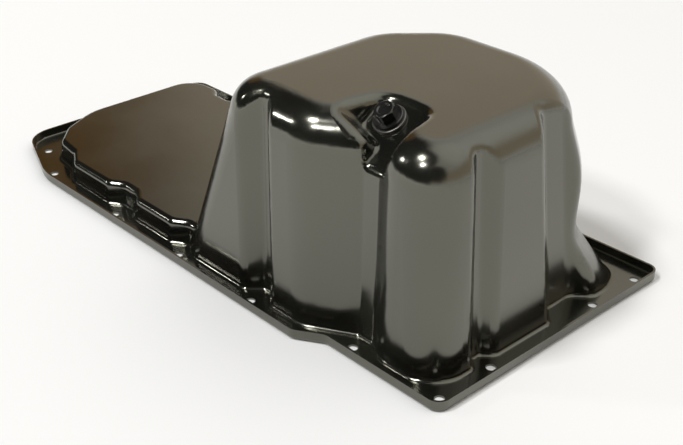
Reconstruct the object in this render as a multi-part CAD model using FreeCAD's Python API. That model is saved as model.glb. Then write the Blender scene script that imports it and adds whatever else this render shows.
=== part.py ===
import FreeCAD, Part
import math
import os

# Engine oil pan: one deep-drawn sheet-steel pan with its drain plug, sealing ring and weld nut.
# Millimetres. +Z points from the gasket face to the floor of the sump, so the pan rests on its
# gasket face, upside down to the way it hangs below an engine. +X runs from the shallow tray to
# the deep sump. "Near" is the -Y side and "far" the +Y side. The origin is in the middle of the
# pan's outline, on the gasket face.

Vector = FreeCAD.Vector
os.makedirs("parts", exist_ok=True)

# Overall sizes
pan_length = 512.0
pan_width = 245.0
sump_height = 155.0
tray_height = 20.0
sheet = 1.5

# Flange and its upturned lip
lip_height = 8.5
lip_bend = 3.0
flange_bend = 3.0
mouth_bend = 3.0
near_flange = 15.0
sump_near_flange = 13.7
end_flange = 17.0
far_flange = 14.5
tray_end_flange = 11.5
near_step = 12.5
far_step = 29.5
corner_rounding = 9.0

# Bolts
bolt_hole = 7.0
socket_room = 14.0
near_row_edge = 8.7
tray_far_row_edge = 8.5
end_row_edge = 10.5
row_pitch = 85.5
row_end = 175.5
sump_bolt_end = 86.0

# Walls
sump_foot = 271.5
sump_rounding = 25.0
tray_rounding = 5.0
junction_rounding = 6.0
groove_rounding = 9.0
sump_wall_lean = 2.0
end_wall_lean = 7.0
far_wall_lean = 20.0
tray_side_lean = 60.5
tray_wall_lean = 2.0
flare_slope = 1.5
upper_corner = 78.0
flange_corner = 28.0

# Drain plug and its seat
seat_tilt = 32.0
seat_from_end = 102.5
seat_from_wall = 43.1
seat_drop = 11.0
plug_thread = 13.85
thread_clearance = 0.05
shank_chamfer = 1.2
hex_flats = 13.0
hex_height = 7.0
collar_diameter = 20.5
collar_height = 2.6
shank_length = 15.0
ring_diameter = 23.0
ring_height = 2.2
ring_bore_clearance = 0.6
nut_diameter = 22.0
nut_height = 9.0
seat_bore = 17.0
seat_fillet = 4.0
seat_rim_rounding = 8.0
crown_radius = 6.2
crown_slope = 30.0
dish_radius = 4.6
dish_depth = 0.8
collar_chamfer = 0.5
ring_rounding = 0.5
nut_chamfer = 1.0

# How far the forms reach below the gasket face before they are trimmed
below = 5.0

# Lines that the outline and the walls follow
left_edge = -pan_length / 2
right_edge = pan_length / 2
near_edge = -pan_width / 2
far_edge = pan_width / 2
sump_near_edge = near_edge + near_step
tray_far_edge = far_edge - far_step
near_wall = near_edge + near_flange
sump_near_wall = sump_near_edge + sump_near_flange
right_wall = right_edge - end_flange
far_wall = far_edge - far_flange
tray_far_wall = tray_far_edge - far_flange
left_wall = left_edge + tray_end_flange
foot_line = right_edge - sump_foot

# Bolt rows
near_row = near_edge + near_row_edge
far_row = far_edge - near_row_edge
tray_far_row = tray_far_edge - tray_far_row_edge
end_row = right_edge - end_row_edge
third_bolt = right_edge - row_end
second_bolt = third_bolt - row_pitch
first_bolt = second_bolt - row_pitch
sump_bolt = right_edge - sump_bolt_end
sweep_bolt = left_edge + 70.0
end_bolt = -50.0
far_end_bolt = 57.3


def turns_left(corners, i):
    """True where the outline, walked with the inside on its left, bends outward at corner i."""
    ax, ay = corners[i - 1][:2]
    bx, by = corners[i][:2]
    cx, cy = corners[(i + 1) % len(corners)][:2]
    return (bx - ax) * (cy - by) - (by - ay) * (cx - bx) > 0


def moved_in(corners, steps):
    """The corners (x, y, radius) with side i, from corner i to the next, moved inward by steps[i]."""
    sides = []
    for i, (x, y, radius) in enumerate(corners):
        end_x, end_y = corners[(i + 1) % len(corners)][:2]
        along = Vector(end_x - x, end_y - y, 0).normalize()
        inward = Vector(-along.y, along.x, 0)
        sides.append((Vector(x, y, 0) + inward * steps[i], along))
    moved = []
    for i, (start, along) in enumerate(sides):
        last_start, last_along = sides[i - 1]
        gap = start - last_start
        reach = (gap.x * along.y - gap.y * along.x) / (last_along.x * along.y - last_along.y * along.x)
        corner = last_start + last_along * reach
        moved.append((corner.x, corner.y, corners[i][2]))
    return moved


def thinned(corners, gap):
    """The outline of the sheet's other face, a gap further in, with its roundings kept parallel."""
    inner = moved_in(corners, [gap] * len(corners))
    return [
        (x, y, radius - gap if turns_left(corners, i) else radius + gap)
        for i, (x, y, radius) in enumerate(inner)
    ]


def outline(corners, z):
    """A closed wire of lines through the corners, each rounded by its own radius, at height z."""
    marks = []
    for i, (x, y, radius) in enumerate(corners):
        here = Vector(x, y, z)
        back = (Vector(*corners[i - 1][:2], z) - here).normalize()
        ahead = (Vector(*corners[(i + 1) % len(corners)][:2], z) - here).normalize()
        half_angle = back.getAngle(ahead) / 2
        reach = radius / math.tan(half_angle)
        middle = (back + ahead).normalize() * (radius / math.sin(half_angle) - radius)
        marks.append((here + back * reach, here + middle, here + ahead * reach))
    edges = []
    for i, (start, middle, end) in enumerate(marks):
        edges.append(Part.Arc(start, middle, end).toShape())
        edges.append(Part.LineSegment(end, marks[(i + 1) % len(marks)][0]).toShape())
    return Part.Wire(edges)


def prism(corners, bottom, top):
    """The rounded outline as a straight block between two heights."""
    return Part.Face(outline(corners, bottom)).extrude(Vector(0, 0, top - bottom))


def top_edges(shape, z):
    """The edges that lie in the plane at height z."""
    return [e for e in shape.Edges if e.BoundBox.ZMin > z - 0.01 and e.BoundBox.ZMax < z + 0.01]


def lies_on(shape, point):
    return Part.Vertex(point).distToShape(shape)[0] < 0.002


def crossing_edges(body, first, second):
    """The edges above the body's foot where the skins of two forms that made it cross each other."""
    foot = min(vertex.Z for vertex in body.Vertexes)
    found = []
    for edge in body.Edges:
        middle = edge.valueAt(0.63 * edge.FirstParameter + 0.37 * edge.LastParameter)
        above = max(vertex.Z for vertex in edge.Vertexes) > foot + 0.1
        if above and lies_on(second.Shells[0], middle) and lies_on(first.Shells[0], middle):
            found.append(edge)
    return found


def notch(bolt_x, wall, room, side=1):
    """Corners of the recess that leaves a socket room at a bolt. Side is 1 near and -1 far."""
    floor = wall + side * room
    steps = ((-20.0, wall, 10.0), (-8.0, floor, 12.0), (8.0, floor, 12.0), (20.0, wall, 10.0))
    return [(bolt_x + side * across, y, radius) for across, y, radius in steps]


# Flange outline, walked with the inside on the left
flange_corners = [
    (left_edge + 73.5, near_edge, 60.0),
    (right_edge - 121.5, near_edge, corner_rounding),
    (right_edge - 101.5, sump_near_edge, corner_rounding),
    (right_edge, sump_near_edge, corner_rounding),
    (right_edge, far_edge, corner_rounding),
    (right_edge - 201.0, far_edge, corner_rounding),
    (right_edge - 230.0, tray_far_edge, corner_rounding),
    (left_edge, tray_far_edge, 12.0),
    (left_edge, near_edge + 27.3, 28.0),
]

bolts = [
    (left_edge + 27.5, near_edge + 30.0),
    (sweep_bolt, near_edge + 10.8),
    (first_bolt, near_row),
    (second_bolt, near_row),
    (third_bolt, near_row),
    (sump_bolt, sump_near_edge + 10.0),
    (end_row, sump_near_edge + 12.0),
    (end_row, end_bolt),
    (end_row, far_end_bolt),
    (end_row, far_edge - 16.0),
    (sump_bolt, far_row),
    (third_bolt, far_row),
    (second_bolt, tray_far_row),
    (first_bolt, tray_far_row),
    (sweep_bolt, tray_far_row),
    (left_edge + 10.5, tray_far_edge - 10.5),
]

# Foot of the tray's wall. Its last two corners lie inside the sump.
near_notch = near_row + socket_room - near_wall
sump_far_notch = far_wall - (far_row - socket_room)
end_notch = socket_room - end_flange + end_row_edge
far_notch = tray_far_wall - (tray_far_row - socket_room)
tray_end = foot_line + 75.5
tray_corners = (
    [(left_edge + 94.0, near_wall, 14.0)]
    + notch(first_bolt, near_wall, near_notch)
    + notch(second_bolt, near_wall, near_notch)[:2]
    + [(tray_end, near_wall + near_notch, 8.0), (tray_end, tray_far_wall, 8.0)]
    + notch(second_bolt, tray_far_wall, far_notch, -1)
    + notch(first_bolt, tray_far_wall, far_notch, -1)
    + notch(sweep_bolt, tray_far_wall, far_notch, -1)
    + [
        (left_wall, tray_far_wall, 24.0),
        (left_wall, near_edge + 82.5, 50.0),
        (left_wall + 17.0, near_edge + 48.5, 20.0),
        (left_edge + 50.0, near_wall + 14.0, 16.0),
        (left_edge + 76.0, near_wall + 10.5, 14.0),
    ]
)

# Foot of the sump's wall, its lean over the full height, and its roundings at the foot and top
valley = sump_near_edge + 23.0
sump_corners = [
    (foot_line, near_wall, 25.0),
    (right_edge - 128.5, near_wall, 40.0),
    (sump_bolt - 7.5, valley, 5.0),
    (sump_bolt + 6.5, valley, 8.0),
    (sump_bolt + 22.5, sump_near_wall, 28.0),
    (right_wall, sump_near_wall, 25.0),
    (right_wall, far_wall, flange_corner),
    (right_edge - 196.5, far_wall, 50.0),
    (foot_line, far_wall - 84.0, 50.0),
]
sump_lean = [
    sump_wall_lean,
    sump_wall_lean + 1.0,
    sump_wall_lean + 1.0,
    sump_wall_lean + 1.0,
    sump_wall_lean + 1.0,
    end_wall_lean,
    far_wall_lean,
    32.0,
    tray_side_lean,
]
sump_top_radii = [32.0, 40.0, 5.0, 8.0, 28.0, 30.0, upper_corner, 50.0, 50.0]
flare_corner = 6

# Grooves: foot x and y, angle inward, depth, half the floor's width, rounding of the floor's
# corners, lean inward and aside
sump_grooves = [
    (third_bolt, near_wall, 90, near_notch + 3.5, 4.0, 5.0, sump_wall_lean, 0.0),
    (right_wall, end_bolt, 180, end_notch, 4.0, 5.0, end_wall_lean, 0.0),
    (right_wall, 41.0, 180, 12.0, 13.0, 12.0, end_wall_lean + 3.0, -12.0),
    (sump_bolt, far_wall, -90, sump_far_notch, 4.0, 5.0, far_wall_lean, 0.0),
    (third_bolt, far_wall, -90, sump_far_notch, 4.0, 5.0, far_wall_lean, 0.0),
]

# The seat's floor about the plug, in the seat's own plane, and how far each side opens above it
seat_depth = 24.0
seat_plan = [
    (9.0, -62.0, 7.0),
    (29.0, -62.0, 7.0),
    (24.0, 15.6, 15.0),
    (-15.5, 15.6, 15.0),
    (-15.5, -12.0, 8.0),
    (8.0, -20.0, 8.0),
]
seat_spread = [0.0, -10.0, -7.0, -8.0, -8.0, -4.0]


def flare_radius(z):
    """Rounding of the far end corner: it opens quickly above the flange, then closes slowly."""
    opening = flange_corner + flare_slope * z
    closing = upper_corner + 0.09 * (sump_height - z)
    softness = 3.0
    return (opening + closing) / 2 - math.hypot((opening - closing) / 2, softness)


def sump_section(z, gap):
    """The sump's outline at height z. The far end corner flares out to a tight one at the flange."""
    share = z / sump_height
    corners = []
    for i, (x, y, radius) in enumerate(sump_corners):
        radius += share * (sump_top_radii[i] - radius)
        if i == flare_corner:
            radius = flare_radius(z)
        corners.append((x, y, radius))
    leaned = moved_in(corners, [share * lean for lean in sump_lean])
    return outline(thinned(leaned, gap), z)


def groove(x, y, inward_angle, depth, floor_half, floor_radius, lean_in, lean_aside, gap):
    """A cutting tool for an upright groove in a wall whose foot passes through (x, y)."""
    outside = 30.0
    inward = Vector(math.cos(math.radians(inward_angle)), math.sin(math.radians(inward_angle)), 0)
    aside = Vector(inward.y, -inward.x, 0)
    low = -10.0
    high = sump_height + 10.0
    wires = []
    for z in (low, high):
        share = z / sump_height
        here = Vector(x, y, 0) + inward * (lean_in * share) + aside * (lean_aside * share)
        plan = (
            (-floor_half - depth - outside, -outside, 1.0),
            (-floor_half, depth, floor_radius),
            (floor_half, depth, floor_radius),
            (floor_half + depth + outside, -outside, 1.0),
        )
        corners = []
        for across, deep, radius in plan:
            point = here + aside * across + inward * deep
            corners.append((point.x, point.y, radius))
        wires.append(outline(thinned(corners[::-1], -gap), z))
    return Part.makeLoft(wires, True, True)


def seat_frame():
    """Where the drain plug sits: the middle of the seat, and the turn from upright to its axis."""
    place = Vector(right_edge - seat_from_end, sump_near_wall + seat_from_wall, sump_height - seat_drop)
    return FreeCAD.Placement(place, FreeCAD.Rotation(Vector(1, 0, 0), seat_tilt))


def seat_pocket(gap):
    """The tool that presses the plug's sloping seat into the sump's floor edge."""
    floor = outline(thinned(seat_plan, -gap), -gap)
    mouth = outline(thinned(moved_in(seat_plan, seat_spread), -gap), seat_depth)
    pocket = Part.makeLoft([floor, mouth], True, True)
    pocket = pocket.makeFillet(seat_fillet + gap, top_edges(pocket, -gap))
    pocket.Placement = seat_frame()
    return pocket


def sump_form(gap):
    """The sump as a solid block: its outer skin, or with the sheet as gap its inner skin."""
    top = sump_height - gap
    heights = [-below, 12.0, 28.0, 42.0, 65.0, 110.0, top]
    form = Part.makeLoft([sump_section(z, gap) for z in heights], True, False)
    form = form.makeFillet(sump_rounding - gap, top_edges(form, top))
    for place in sump_grooves:
        tool = groove(*place, gap)
        cut = form.cut(tool)
        shoulders = crossing_edges(cut, form, tool)
        form = cut.makeFillet(groove_rounding - gap, shoulders)
    return form


def tray_form(gap):
    """The shallow tray as a solid block: its outer skin, or with the sheet as gap its inner skin."""
    top = tray_height - gap
    wires = []
    for z in (-below, top):
        leaned = moved_in(tray_corners, [tray_wall_lean * z / tray_height] * len(tray_corners))
        wires.append(outline(thinned(leaned, gap), z))
    form = Part.makeLoft(wires, True, True)
    return form.makeFillet(tray_rounding - gap, top_edges(form, top))


def pan_form(gap):
    """Sump and tray in one, with the rounded foot between them and the drain plug's seat."""
    sump = sump_form(gap)
    tray = tray_form(gap)
    both = sump.fuse(tray)
    both = both.makeFillet(junction_rounding + gap, crossing_edges(both, sump, tray))
    pocket = seat_pocket(gap)
    cut = both.cut(pocket)
    return cut.makeFillet(seat_rim_rounding - gap, crossing_edges(cut, both, pocket))


def flange_dish():
    """The flat flange with its upturned lip, still without the pan's opening."""
    block = prism(flange_corners, 0, lip_height)
    block = block.makeFillet(lip_bend, top_edges(block, 0))
    inside = prism(thinned(flange_corners, sheet), sheet, lip_height + 1)
    inside = inside.makeFillet(lip_bend - sheet, top_edges(inside, sheet))
    return block.cut(inside)


def round_bar(diameter, low, high):
    """An upright cylinder about the origin between two heights."""
    return Part.makeCylinder(diameter / 2, high - low, Vector(0, 0, low))


def edges_on(shape, z, skin):
    """The edges of a shape in the plane at height z that also lie on another form's skin."""
    return [
        edge for edge in top_edges(shape, z)
        if lies_on(skin.Shells[0], edge.valueAt(0.63 * edge.FirstParameter + 0.37 * edge.LastParameter))
    ]


def pan_shell():
    """The whole pressed pan: flange, sump and tray of one sheet, with its holes."""
    length = 2 * pan_length
    under = Part.makeBox(length, length, 2 * below, Vector(-length / 2, -length / 2, -2 * below))
    outer = pan_form(0.0).cut(under)
    inner = pan_form(sheet)
    body = flange_dish().fuse(outer)
    body = body.makeFillet(flange_bend, edges_on(body, sheet, outer))
    body = body.cut(inner)
    body = body.makeFillet(mouth_bend, edges_on(body, 0.0, inner))
    drills = []
    for x, y in bolts:
        drills.append(Part.makeCylinder(bolt_hole / 2, lip_height, Vector(x, y, -below)))
    seat_drill = round_bar(seat_bore, -nut_height, nut_height)
    seat_drill.Placement = seat_frame()
    return body.cut(drills + [seat_drill])


def drain_plug():
    """Hexagon, collar and shank, upright, with the seat's outer face at height 0."""
    collar_top = ring_height + collar_height
    hex_top = collar_top + hex_height
    corner = hex_flats / math.sqrt(3)
    outside = 2 * corner
    points = []
    for i in range(7):
        turn = math.radians(60 * i)
        points.append(Vector(corner * math.cos(turn), corner * math.sin(turn), collar_top))
    hexagon = Part.Face(Part.makePolygon(points)).extrude(Vector(0, 0, hex_height))
    crown_height = (outside - crown_radius) * math.tan(math.radians(crown_slope))
    crown_foot = hex_top - crown_height
    crown = Part.makeCone(outside, crown_radius, crown_height, Vector(0, 0, crown_foot))
    hexagon = hexagon.common(crown.fuse(round_bar(2 * outside, collar_top, crown_foot)))
    dish_floor = Vector(0, 0, hex_top - dish_depth)
    hollow = Part.makeCone(dish_radius - dish_depth, dish_radius, dish_depth, dish_floor)
    hexagon = hexagon.cut(hollow)
    collar = round_bar(collar_diameter, ring_height, collar_top)
    collar = collar.makeChamfer(collar_chamfer, top_edges(collar, collar_top))
    tip = ring_height - shank_length
    shank = round_bar(plug_thread, tip, ring_height)
    shank = shank.makeChamfer(shank_chamfer, top_edges(shank, tip))
    return collar.fuse(hexagon).fuse(shank)


def sealing_ring():
    """Flat washer between the collar and the seat."""
    ring = round_bar(ring_diameter, 0, ring_height)
    ring = ring.makeFillet(ring_rounding, top_edges(ring, 0) + top_edges(ring, ring_height))
    return ring.cut(round_bar(plug_thread + 2 * ring_bore_clearance, -1, ring_height + 1))


def weld_nut():
    """Round nut welded inside the sump, under the seat."""
    nut = round_bar(nut_diameter, -sheet - nut_height, -sheet)
    nut = nut.makeChamfer(nut_chamfer, top_edges(nut, -sheet - nut_height))
    return nut.cut(round_bar(plug_thread + 2 * thread_clearance, -sheet - nut_height - 1, 0))


pieces = {
    "pan_shell": pan_shell(),
    "drain_plug": drain_plug(),
    "drain_plug_gasket": sealing_ring(),
    "drain_plug_nut": weld_nut(),
}
for name, shape in pieces.items():
    if name != "pan_shell":
        shape.Placement = seat_frame()
    shape.exportStep("parts/" + name + ".step")
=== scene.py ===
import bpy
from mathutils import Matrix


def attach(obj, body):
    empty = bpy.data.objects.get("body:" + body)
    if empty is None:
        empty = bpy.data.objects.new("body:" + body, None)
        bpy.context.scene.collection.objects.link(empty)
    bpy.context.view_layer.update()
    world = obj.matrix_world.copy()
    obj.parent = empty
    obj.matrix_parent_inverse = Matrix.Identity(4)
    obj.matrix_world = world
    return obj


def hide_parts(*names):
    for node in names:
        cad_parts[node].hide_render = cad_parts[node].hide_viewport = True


bl_info = {
    "name": "Oil Pan Looks",
    "version": (1, 1, 0),
    "blender": (4, 5, 0),
    "location": "View3D > Sidebar > Oil Pan",
    "description": "Paint, plating, a threaded plug and a studio for a packed engine oil pan",
    "category": "Object",
}

import math

import bmesh
import bpy
from bpy.props import FloatProperty, FloatVectorProperty, IntProperty, PointerProperty
from mathutils import Matrix, Vector

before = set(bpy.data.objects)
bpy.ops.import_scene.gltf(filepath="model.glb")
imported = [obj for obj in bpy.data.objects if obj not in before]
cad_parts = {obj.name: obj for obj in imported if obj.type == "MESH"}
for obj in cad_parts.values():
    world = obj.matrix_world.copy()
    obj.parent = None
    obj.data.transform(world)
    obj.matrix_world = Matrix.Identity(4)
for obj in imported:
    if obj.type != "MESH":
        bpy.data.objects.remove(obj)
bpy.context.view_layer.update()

# The drain plug's seat, as the solids have it: its middle and its tilt about X
seat_place = Vector((0.1535, -0.0532, 0.144))
seat_tilt = math.radians(32.0)

# The thread's section over one turn: its depth and its height, as shares of full depth and pitch
thread_section = ((0.0, 0.0), (1.0, 0.42), (1.0, 0.56), (0.0, 0.98), (0.0, 1.0))
sharp_edge = math.radians(28)

# The studio's sky, from the horizon up: sine of the height, and colour
sky_bands = (
    (0.03, (0.95, 0.95, 0.94, 1.0)),
    (0.2, (0.68, 0.59, 0.46, 1.0)),
    (0.45, (0.65, 0.56, 0.44, 1.0)),
    (0.62, (0.80, 0.79, 0.76, 1.0)),
)

# Dark surroundings on the left, above the near side and behind the camera, and a brown one:
# azimuth, elevation, radius where it is full and where it is gone, in degrees, and colour
black = (0.02, 0.02, 0.02, 1.0)
brown = (0.24, 0.13, 0.04, 1.0)
surroundings = (
    (202, 30, 38, 54, black),
    (255, 58, 24, 36, black),
    (268, 14, 30, 40, black),
    (317, 29, 14, 28, black),
    (157, 24, 3, 12, brown),
)
horizon_haze = 0.06

# A large softbox high on the far side, placed in the same way, and what it adds to the sky
far_panel = (60, 62, 10, 40)
far_panel_light = (0.3, 0.31, 0.32)

# Softboxes above the near side: azimuth, elevation, width and depth as shares of their distance
softboxes = ((218, 27, 0.07, 0.05), (246, 60, 0.142, 0.142), (270, 48, 0.117, 0.117))

# The camera's place, its right and its top as directions, its lens and its sensor in millimetres
camera_place = Vector((0.62092, -0.52664, 0.44037))
camera_right = Vector((0.67867, 0.73444, 0.0))
camera_top = Vector((-0.35698, 0.32987, 0.87393))
camera_lens = 60.9
camera_sensor = 36.0


# Shader helpers

def new_material(name):
    """A fresh node material and its Principled shader."""
    material = bpy.data.materials.new(name)
    material.use_nodes = True
    return material, material.node_tree.nodes["Principled BSDF"]


def dress(piece, material):
    """Puts one material on every slot of a piece."""
    piece.data.materials.clear()
    piece.data.materials.append(material)


def map_range(nodes, low, high, to_low=0.0, to_high=1.0):
    """A smooth step from one value to another."""
    node = nodes.new("ShaderNodeMapRange")
    node.interpolation_type = "SMOOTHSTEP"
    node.inputs["From Min"].default_value = low
    node.inputs["From Max"].default_value = high
    node.inputs["To Min"].default_value = to_low
    node.inputs["To Max"].default_value = to_high
    return node


def product(nodes, links, first, second):
    """The product of two values."""
    node = nodes.new("ShaderNodeMath")
    node.operation = "MULTIPLY"
    links.new(first, node.inputs[0])
    links.new(second, node.inputs[1])
    return node.outputs["Value"]


def surface_wear_group():
    """Node group: cloudy unevenness and a fine ripple for a dipped or plated surface."""
    group = bpy.data.node_groups.get("uneven_finish")
    if group:
        return group
    group = bpy.data.node_groups.new("uneven_finish", "ShaderNodeTree")
    face = group.interface
    face.new_socket("Dark", in_out="INPUT", socket_type="NodeSocketColor")
    face.new_socket("Light", in_out="INPUT", socket_type="NodeSocketColor")
    face.new_socket("Smooth", in_out="INPUT", socket_type="NodeSocketFloat")
    face.new_socket("Rough", in_out="INPUT", socket_type="NodeSocketFloat")
    face.new_socket("Ripple", in_out="INPUT", socket_type="NodeSocketFloat")
    face.new_socket("Colour", in_out="OUTPUT", socket_type="NodeSocketColor")
    face.new_socket("Roughness", in_out="OUTPUT", socket_type="NodeSocketFloat")
    face.new_socket("Normal", in_out="OUTPUT", socket_type="NodeSocketVector")
    nodes, links = group.nodes, group.links
    given = nodes.new("NodeGroupInput")
    result = nodes.new("NodeGroupOutput")
    place = nodes.new("ShaderNodeTexCoord")
    clouds = nodes.new("ShaderNodeTexNoise")
    clouds.inputs["Scale"].default_value = 14.0
    clouds.inputs["Detail"].default_value = 4.0
    links.new(place.outputs["Object"], clouds.inputs["Vector"])
    share = map_range(nodes, 0.35, 0.68)
    links.new(clouds.outputs["Fac"], share.inputs["Value"])
    tint = nodes.new("ShaderNodeMix")
    tint.data_type = "RGBA"
    links.new(share.outputs["Result"], tint.inputs["Factor"])
    links.new(given.outputs["Dark"], tint.inputs["A"])
    links.new(given.outputs["Light"], tint.inputs["B"])
    links.new(tint.outputs["Result"], result.inputs["Colour"])
    sheen = nodes.new("ShaderNodeMix")
    sheen.data_type = "FLOAT"
    links.new(share.outputs["Result"], sheen.inputs["Factor"])
    links.new(given.outputs["Smooth"], sheen.inputs["A"])
    links.new(given.outputs["Rough"], sheen.inputs["B"])
    links.new(sheen.outputs["Result"], result.inputs["Roughness"])
    ripple = nodes.new("ShaderNodeTexNoise")
    ripple.inputs["Scale"].default_value = 45.0
    ripple.inputs["Detail"].default_value = 2.0
    links.new(place.outputs["Object"], ripple.inputs["Vector"])
    bump = nodes.new("ShaderNodeBump")
    bump.inputs["Distance"].default_value = 0.001
    links.new(given.outputs["Ripple"], bump.inputs["Strength"])
    links.new(ripple.outputs["Fac"], bump.inputs["Height"])
    links.new(bump.outputs["Normal"], result.inputs["Normal"])
    return group


def finish_with(material, shader, dark, light, smooth, rough, ripple):
    """Feeds a material from the unevenness group with its own values."""
    nodes, links = material.node_tree.nodes, material.node_tree.links
    group = nodes.new("ShaderNodeGroup")
    group.node_tree = surface_wear_group()
    group.inputs["Dark"].default_value = (*dark, 1.0)
    group.inputs["Light"].default_value = (*light, 1.0)
    group.inputs["Smooth"].default_value = smooth
    group.inputs["Rough"].default_value = rough
    group.inputs["Ripple"].default_value = ripple
    links.new(group.outputs["Colour"], shader.inputs["Base Color"])
    links.new(group.outputs["Roughness"], shader.inputs["Roughness"])
    links.new(group.outputs["Normal"], shader.inputs["Normal"])


def soft_spot_group():
    """Node group for the world: a round patch of sky with a soft edge."""
    group = bpy.data.node_groups.get("soft_spot")
    if group:
        return group
    group = bpy.data.node_groups.new("soft_spot", "ShaderNodeTree")
    face = group.interface
    face.new_socket("Direction", in_out="INPUT", socket_type="NodeSocketVector")
    face.new_socket("Centre", in_out="INPUT", socket_type="NodeSocketVector")
    face.new_socket("Outer", in_out="INPUT", socket_type="NodeSocketFloat")
    face.new_socket("Inner", in_out="INPUT", socket_type="NodeSocketFloat")
    face.new_socket("Mask", in_out="OUTPUT", socket_type="NodeSocketFloat")
    nodes, links = group.nodes, group.links
    given = nodes.new("NodeGroupInput")
    result = nodes.new("NodeGroupOutput")
    nearness = nodes.new("ShaderNodeVectorMath")
    nearness.operation = "DOT_PRODUCT"
    links.new(given.outputs["Direction"], nearness.inputs[0])
    links.new(given.outputs["Centre"], nearness.inputs[1])
    step = map_range(nodes, 0.0, 1.0)
    links.new(nearness.outputs["Value"], step.inputs["Value"])
    links.new(given.outputs["Outer"], step.inputs["From Min"])
    links.new(given.outputs["Inner"], step.inputs["From Max"])
    links.new(step.outputs["Result"], result.inputs["Mask"])
    return group


def towards(azimuth, elevation):
    """The unit vector to a point of the sky, from its azimuth and elevation in degrees."""
    turn, rise = math.radians(azimuth), math.radians(elevation)
    return Vector((math.cos(rise) * math.cos(turn), math.cos(rise) * math.sin(turn), math.sin(rise)))


def spot(world, direction, azimuth, elevation, inner, outer):
    """One soft patch of sky: full inside one angle from its middle, gone beyond the other."""
    node = world.node_tree.nodes.new("ShaderNodeGroup")
    node.node_tree = soft_spot_group()
    node.inputs["Centre"].default_value = towards(azimuth, elevation)
    node.inputs["Inner"].default_value = math.cos(math.radians(inner))
    node.inputs["Outer"].default_value = math.cos(math.radians(outer))
    world.node_tree.links.new(direction, node.inputs["Direction"])
    return node.outputs["Mask"]


# Plug

def cut_at(body, place, normal, **side):
    """Cuts a body with a plane and takes away the side that is named."""
    everything = body.verts[:] + body.edges[:] + body.faces[:]
    bmesh.ops.bisect_plane(body, geom=everything, plane_co=place, plane_no=normal, **side)


def threaded_shank(settings):
    """A closed bar with a helical thread, upright on the seat's axis, from tip to neck."""
    thread = bmesh.new()
    root = settings.crest - settings.thread_depth
    low = settings.tip - settings.pitch
    points = [
        thread.verts.new((root + share * settings.thread_depth, 0, low + height * settings.pitch))
        for share, height in thread_section
    ]
    chain = [thread.edges.new(pair) for pair in zip(points, points[1:])]
    turns = math.ceil((settings.thread_top - low) / settings.pitch) + 1
    bmesh.ops.spin(
        thread,
        geom=points + chain,
        cent=(0, 0, 0),
        axis=(0, 0, 1),
        dvec=(0, 0, settings.pitch / settings.steps),
        angle=2 * math.pi * turns,
        steps=settings.steps * turns,
    )
    bmesh.ops.remove_doubles(thread, verts=thread.verts, dist=2e-6)
    for height, up in ((settings.tip, -1), (settings.thread_top, 1)):
        cut_at(thread, (0, 0, height), (0, 0, up), clear_outer=True)
        rim = [
            edge for edge in thread.edges
            if edge.is_boundary and all(abs(vert.co.z - height) < 1e-6 for vert in edge.verts)
        ]
        bmesh.ops.contextual_create(thread, geom=rim)
    bmesh.ops.recalc_face_normals(thread, faces=thread.faces)
    return thread


def smooth_but_sharp(body):
    """Smooth faces, parted at the sharp edges."""
    sharp = [edge for edge in body.edges if edge.calc_face_angle(0) > sharp_edge]
    for face in body.faces:
        face.smooth = True
    for edge in sharp:
        edge.smooth = False


# Settings

class OILPAN_PG_paint(bpy.types.PropertyGroup):
    """The black dip paint."""

    dark: FloatVectorProperty(
        name="Darker paint",
        description="Body colour of the dip paint where it lies thick",
        subtype="COLOR",
        size=3,
        min=0.0,
        max=1.0,
        default=(0.006, 0.006, 0.005),
    )
    light: FloatVectorProperty(
        name="Lighter paint",
        description="Body colour of the dip paint where it lies thin",
        subtype="COLOR",
        size=3,
        min=0.0,
        max=1.0,
        default=(0.012, 0.012, 0.009),
    )
    smooth: FloatProperty(
        name="Least roughness",
        description="Roughness of the glossiest patches",
        subtype="FACTOR",
        min=0.0,
        max=1.0,
        default=0.13,
    )
    rough: FloatProperty(
        name="Most roughness",
        description="Roughness of the dullest patches",
        subtype="FACTOR",
        min=0.0,
        max=1.0,
        default=0.2,
    )
    ripple: FloatProperty(
        name="Ripple",
        description="How strongly the paint's skin ripples",
        subtype="FACTOR",
        min=0.0,
        max=1.0,
        default=0.06,
    )
    ior: FloatProperty(
        name="Refraction",
        description="Refractive index of the paint, which sets how much it mirrors",
        min=1.2,
        max=2.5,
        default=2.12,
    )


class OILPAN_PG_plug(bpy.types.PropertyGroup):
    """The plated, threaded drain plug and its ring."""

    colour: FloatVectorProperty(
        name="Plating colour",
        description="Colour of the plug's dark plating",
        subtype="COLOR",
        size=3,
        min=0.0,
        max=1.0,
        default=(0.09, 0.088, 0.085),
    )
    roughness: FloatProperty(
        name="Plating roughness",
        description="Roughness of the plating",
        subtype="FACTOR",
        min=0.0,
        max=1.0,
        default=0.26,
    )
    pitch: FloatProperty(
        name="Pitch",
        description="Travel of the thread in one turn",
        subtype="DISTANCE",
        unit="LENGTH",
        min=0.0005,
        default=0.0015,
    )
    crest: FloatProperty(
        name="Crest radius",
        description="Radius of the thread's crests",
        subtype="DISTANCE",
        unit="LENGTH",
        min=0.002,
        default=0.0069,
    )
    thread_depth: FloatProperty(
        name="Thread depth",
        description="Depth of the thread below its crests",
        subtype="DISTANCE",
        unit="LENGTH",
        min=0.0001,
        default=0.0009,
    )
    thread_top: FloatProperty(
        name="Thread top",
        description="Height above the seat at which the thread ends and the plain neck starts",
        subtype="DISTANCE",
        unit="LENGTH",
        default=-0.0018,
    )
    tip: FloatProperty(
        name="Tip",
        description="Height above the seat of the shank's tip",
        subtype="DISTANCE",
        unit="LENGTH",
        default=-0.0128,
    )
    steps: IntProperty(
        name="Steps",
        description="Steps round one turn of the thread",
        min=12,
        default=48,
    )


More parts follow.
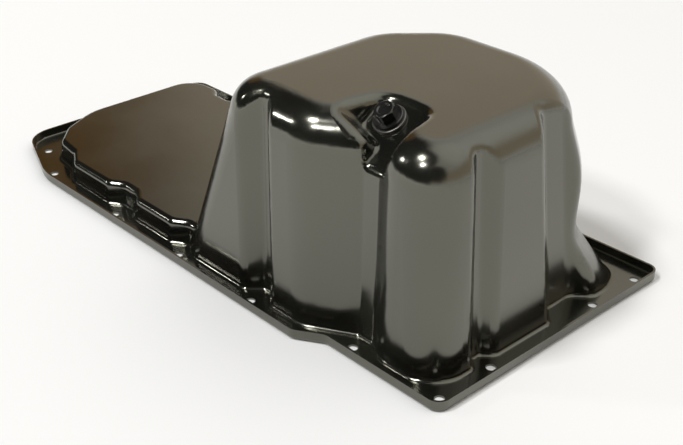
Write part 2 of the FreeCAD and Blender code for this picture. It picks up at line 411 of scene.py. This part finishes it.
class OILPAN_PG_stage(bpy.types.PropertyGroup):
    """Floor, light and camera."""

    floor_colour: FloatVectorProperty(
        name="Floor colour",
        description="Colour of the plain floor",
        subtype="COLOR",
        size=3,
        min=0.0,
        max=1.0,
        default=(0.95, 0.95, 0.95),
    )
    floor_size: FloatProperty(
        name="Floor size",
        description="Length of the square floor's side",
        subtype="DISTANCE",
        unit="LENGTH",
        min=1.0,
        default=14.0,
    )
    sky_strength: FloatProperty(
        name="Sky strength",
        description="Brightness of the light that comes from all round",
        min=0.0,
        default=1.0,
    )
    lamp_power: FloatProperty(
        name="Lamp power",
        description="Power of each square metre of softbox, in watts",
        min=0.0,
        default=196.0,
    )
    lamp_distance: FloatProperty(
        name="Lamp distance",
        description="Distance of the softboxes from the pan",
        subtype="DISTANCE",
        unit="LENGTH",
        min=1.0,
        default=12.0,
    )


class OILPAN_OT_paint(bpy.types.Operator):
    """Paint the pan and its weld nut glossy black"""

    bl_idname = "oilpan.paint"
    bl_label = "Paint the pan"

    def execute(self, context):
        settings = context.scene.oilpan_paint
        for node, name in (("pan_shell", "black_paint"), ("drain_plug_nut", "nut_paint")):
            material, shader = new_material(name)
            shader.inputs["IOR"].default_value = settings.ior
            shader.inputs["Specular Tint"].default_value = (1.0, 0.99, 0.84, 1.0)
            colours = (settings.dark, settings.light)
            finish_with(material, shader, *colours, settings.smooth, settings.rough, settings.ripple)
            dress(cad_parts[node], material)
        return {"FINISHED"}


class OILPAN_OT_plug(bpy.types.Operator):
    """Cut the thread on the drain plug and plate it"""

    bl_idname = "oilpan.plug"
    bl_label = "Make the drain plug"

    def execute(self, context):
        settings = context.scene.oilpan_plug
        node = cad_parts["drain_plug"]
        seat = Matrix.Translation(seat_place) @ Matrix.Rotation(seat_tilt, 4, "X")
        upward = seat.to_3x3() @ Vector((0, 0, 1))
        plug = bmesh.new()
        plug.from_mesh(node.data)
        bmesh.ops.transform(plug, matrix=node.matrix_world, verts=plug.verts)
        bmesh.ops.remove_doubles(plug, verts=plug.verts, dist=1e-6)
        cut_at(plug, seat @ Vector((0, 0, settings.thread_top)), upward, clear_inner=True)
        rim = [edge for edge in plug.edges if edge.is_boundary]
        bmesh.ops.contextual_create(plug, geom=rim)

        thread = threaded_shank(settings)
        bmesh.ops.transform(thread, matrix=seat, verts=thread.verts)
        shank = bpy.data.meshes.new("thread")
        thread.to_mesh(shank)
        thread.free()
        plug.from_mesh(shank)
        bpy.data.meshes.remove(shank)
        smooth_but_sharp(plug)
        mesh = bpy.data.meshes.new("threaded_plug")
        plug.to_mesh(mesh)
        plug.free()
        piece = bpy.data.objects.new("threaded_plug", mesh)
        context.scene.collection.objects.link(piece)
        material, shader = new_material("plug_plating")
        shader.inputs["Metallic"].default_value = 1.0
        light = [1.5 * part for part in settings.colour]
        finish_with(
            material, shader, settings.colour, light, settings.roughness, settings.roughness + 0.12, 0.02
        )
        dress(piece, material)
        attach(piece, "plug")
        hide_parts("drain_plug")

        material, shader = new_material("gasket_metal")
        shader.inputs["Metallic"].default_value = 1.0
        finish_with(material, shader, (0.22, 0.21, 0.2), (0.3, 0.29, 0.27), 0.3, 0.42, 0.02)
        dress(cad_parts["drain_plug_gasket"], material)
        return {"FINISHED"}


class OILPAN_OT_stage(bpy.types.Operator):
    """Set up floor, light, world and camera"""

    bl_idname = "oilpan.stage"
    bl_label = "Set the stage"

    def execute(self, context):
        settings = context.scene.oilpan_stage
        bpy.ops.mesh.primitive_plane_add(size=settings.floor_size, location=(0, 0, 0))
        floor = context.active_object
        floor.name = "floor"
        material, shader = new_material("floor_paper")
        shader.inputs["Base Color"].default_value = (*settings.floor_colour, 1.0)
        shader.inputs["Roughness"].default_value = 1.0
        shader.inputs["Specular IOR Level"].default_value = 0.0
        dress(floor, material)

        world = bpy.data.worlds.new("studio")
        context.scene.world = world
        world.use_nodes = True
        nodes, links = world.node_tree.nodes, world.node_tree.links
        background = nodes["Background"]
        place = nodes.new("ShaderNodeTexCoord")
        direction = place.outputs["Generated"]
        axis = nodes.new("ShaderNodeSeparateXYZ")
        links.new(direction, axis.inputs["Vector"])
        ramp = nodes.new("ShaderNodeValToRGB")
        links.new(axis.outputs["Z"], ramp.inputs["Fac"])
        stops = ramp.color_ramp.elements
        stops[0].position, stops[0].color = sky_bands[0]
        stops[1].position, stops[1].color = sky_bands[-1]
        for position, colour in sky_bands[1:-1]:
            stops.new(position).color = colour

        clear_horizon = map_range(nodes, 0.0, horizon_haze)
        links.new(axis.outputs["Z"], clear_horizon.inputs["Value"])
        sky = ramp.outputs["Color"]
        for azimuth, elevation, inner, outer, colour in surroundings:
            patch = spot(world, direction, azimuth, elevation, inner, outer)
            mask = product(nodes, links, patch, clear_horizon.outputs["Result"])
            shade = nodes.new("ShaderNodeMix")
            shade.data_type = "RGBA"
            shade.inputs["B"].default_value = colour
            links.new(mask, shade.inputs["Factor"])
            links.new(sky, shade.inputs["A"])
            sky = shade.outputs["Result"]

        panel = spot(world, direction, *far_panel)
        scaled = nodes.new("ShaderNodeVectorMath")
        scaled.operation = "SCALE"
        scaled.inputs[0].default_value = far_panel_light
        links.new(panel, scaled.inputs["Scale"])
        total = nodes.new("ShaderNodeVectorMath")
        total.operation = "ADD"
        links.new(sky, total.inputs[0])
        links.new(scaled.outputs["Vector"], total.inputs[1])
        links.new(total.outputs["Vector"], background.inputs["Color"])
        background.inputs["Strength"].default_value = settings.sky_strength

        for number, (azimuth, elevation, width, depth) in enumerate(softboxes):
            data = bpy.data.lights.new(f"softbox_{number}", "AREA")
            data.shape = "RECTANGLE"
            data.size = settings.lamp_distance * width
            data.size_y = settings.lamp_distance * depth
            data.energy = settings.lamp_power * data.size * data.size_y
            lamp = bpy.data.objects.new(data.name, data)
            context.scene.collection.objects.link(lamp)
            lamp.location = settings.lamp_distance * towards(azimuth, elevation)
            lamp.rotation_euler = (-towards(azimuth, elevation)).to_track_quat("-Z", "Y").to_euler()

        camera_data = bpy.data.cameras.new("camera")
        camera = bpy.data.objects.new("camera", camera_data)
        context.scene.collection.objects.link(camera)
        camera_data.sensor_width = camera_sensor
        camera_data.lens = camera_lens
        back = camera_right.cross(camera_top)
        turn = Matrix((camera_right, camera_top, back)).transposed()
        camera.matrix_world = Matrix.Translation(camera_place) @ turn.to_4x4()
        context.scene.camera = camera

        context.scene.view_settings.view_transform = "Standard"
        return {"FINISHED"}


class OILPAN_PT_panel(bpy.types.Panel):
    """Lists the oil pan's steps"""

    bl_label = "Oil Pan"
    bl_idname = "OILPAN_PT_panel"
    bl_space_type = "VIEW_3D"
    bl_region_type = "UI"
    bl_category = "Oil Pan"

    def draw(self, context):
        scene = context.scene
        for settings, operator in (
            (scene.oilpan_paint, "oilpan.paint"),
            (scene.oilpan_plug, "oilpan.plug"),
            (scene.oilpan_stage, "oilpan.stage"),
        ):
            box = self.layout.box()
            for name in settings.__annotations__:
                box.prop(settings, name)
            box.operator(operator)


classes = (
    OILPAN_PG_paint,
    OILPAN_PG_plug,
    OILPAN_PG_stage,
    OILPAN_OT_paint,
    OILPAN_OT_plug,
    OILPAN_OT_stage,
    OILPAN_PT_panel,
)


def register():
    for cls in classes:
        bpy.utils.register_class(cls)
    bpy.types.Scene.oilpan_paint = PointerProperty(type=OILPAN_PG_paint)
    bpy.types.Scene.oilpan_plug = PointerProperty(type=OILPAN_PG_plug)
    bpy.types.Scene.oilpan_stage = PointerProperty(type=OILPAN_PG_stage)


def unregister():
    del bpy.types.Scene.oilpan_stage
    del bpy.types.Scene.oilpan_plug
    del bpy.types.Scene.oilpan_paint
    for cls in reversed(classes):
        bpy.utils.unregister_class(cls)


def main():
    register()
    bpy.ops.oilpan.paint()
    bpy.ops.oilpan.plug()
    bpy.ops.oilpan.stage()


if __name__ == "__main__":
    main()
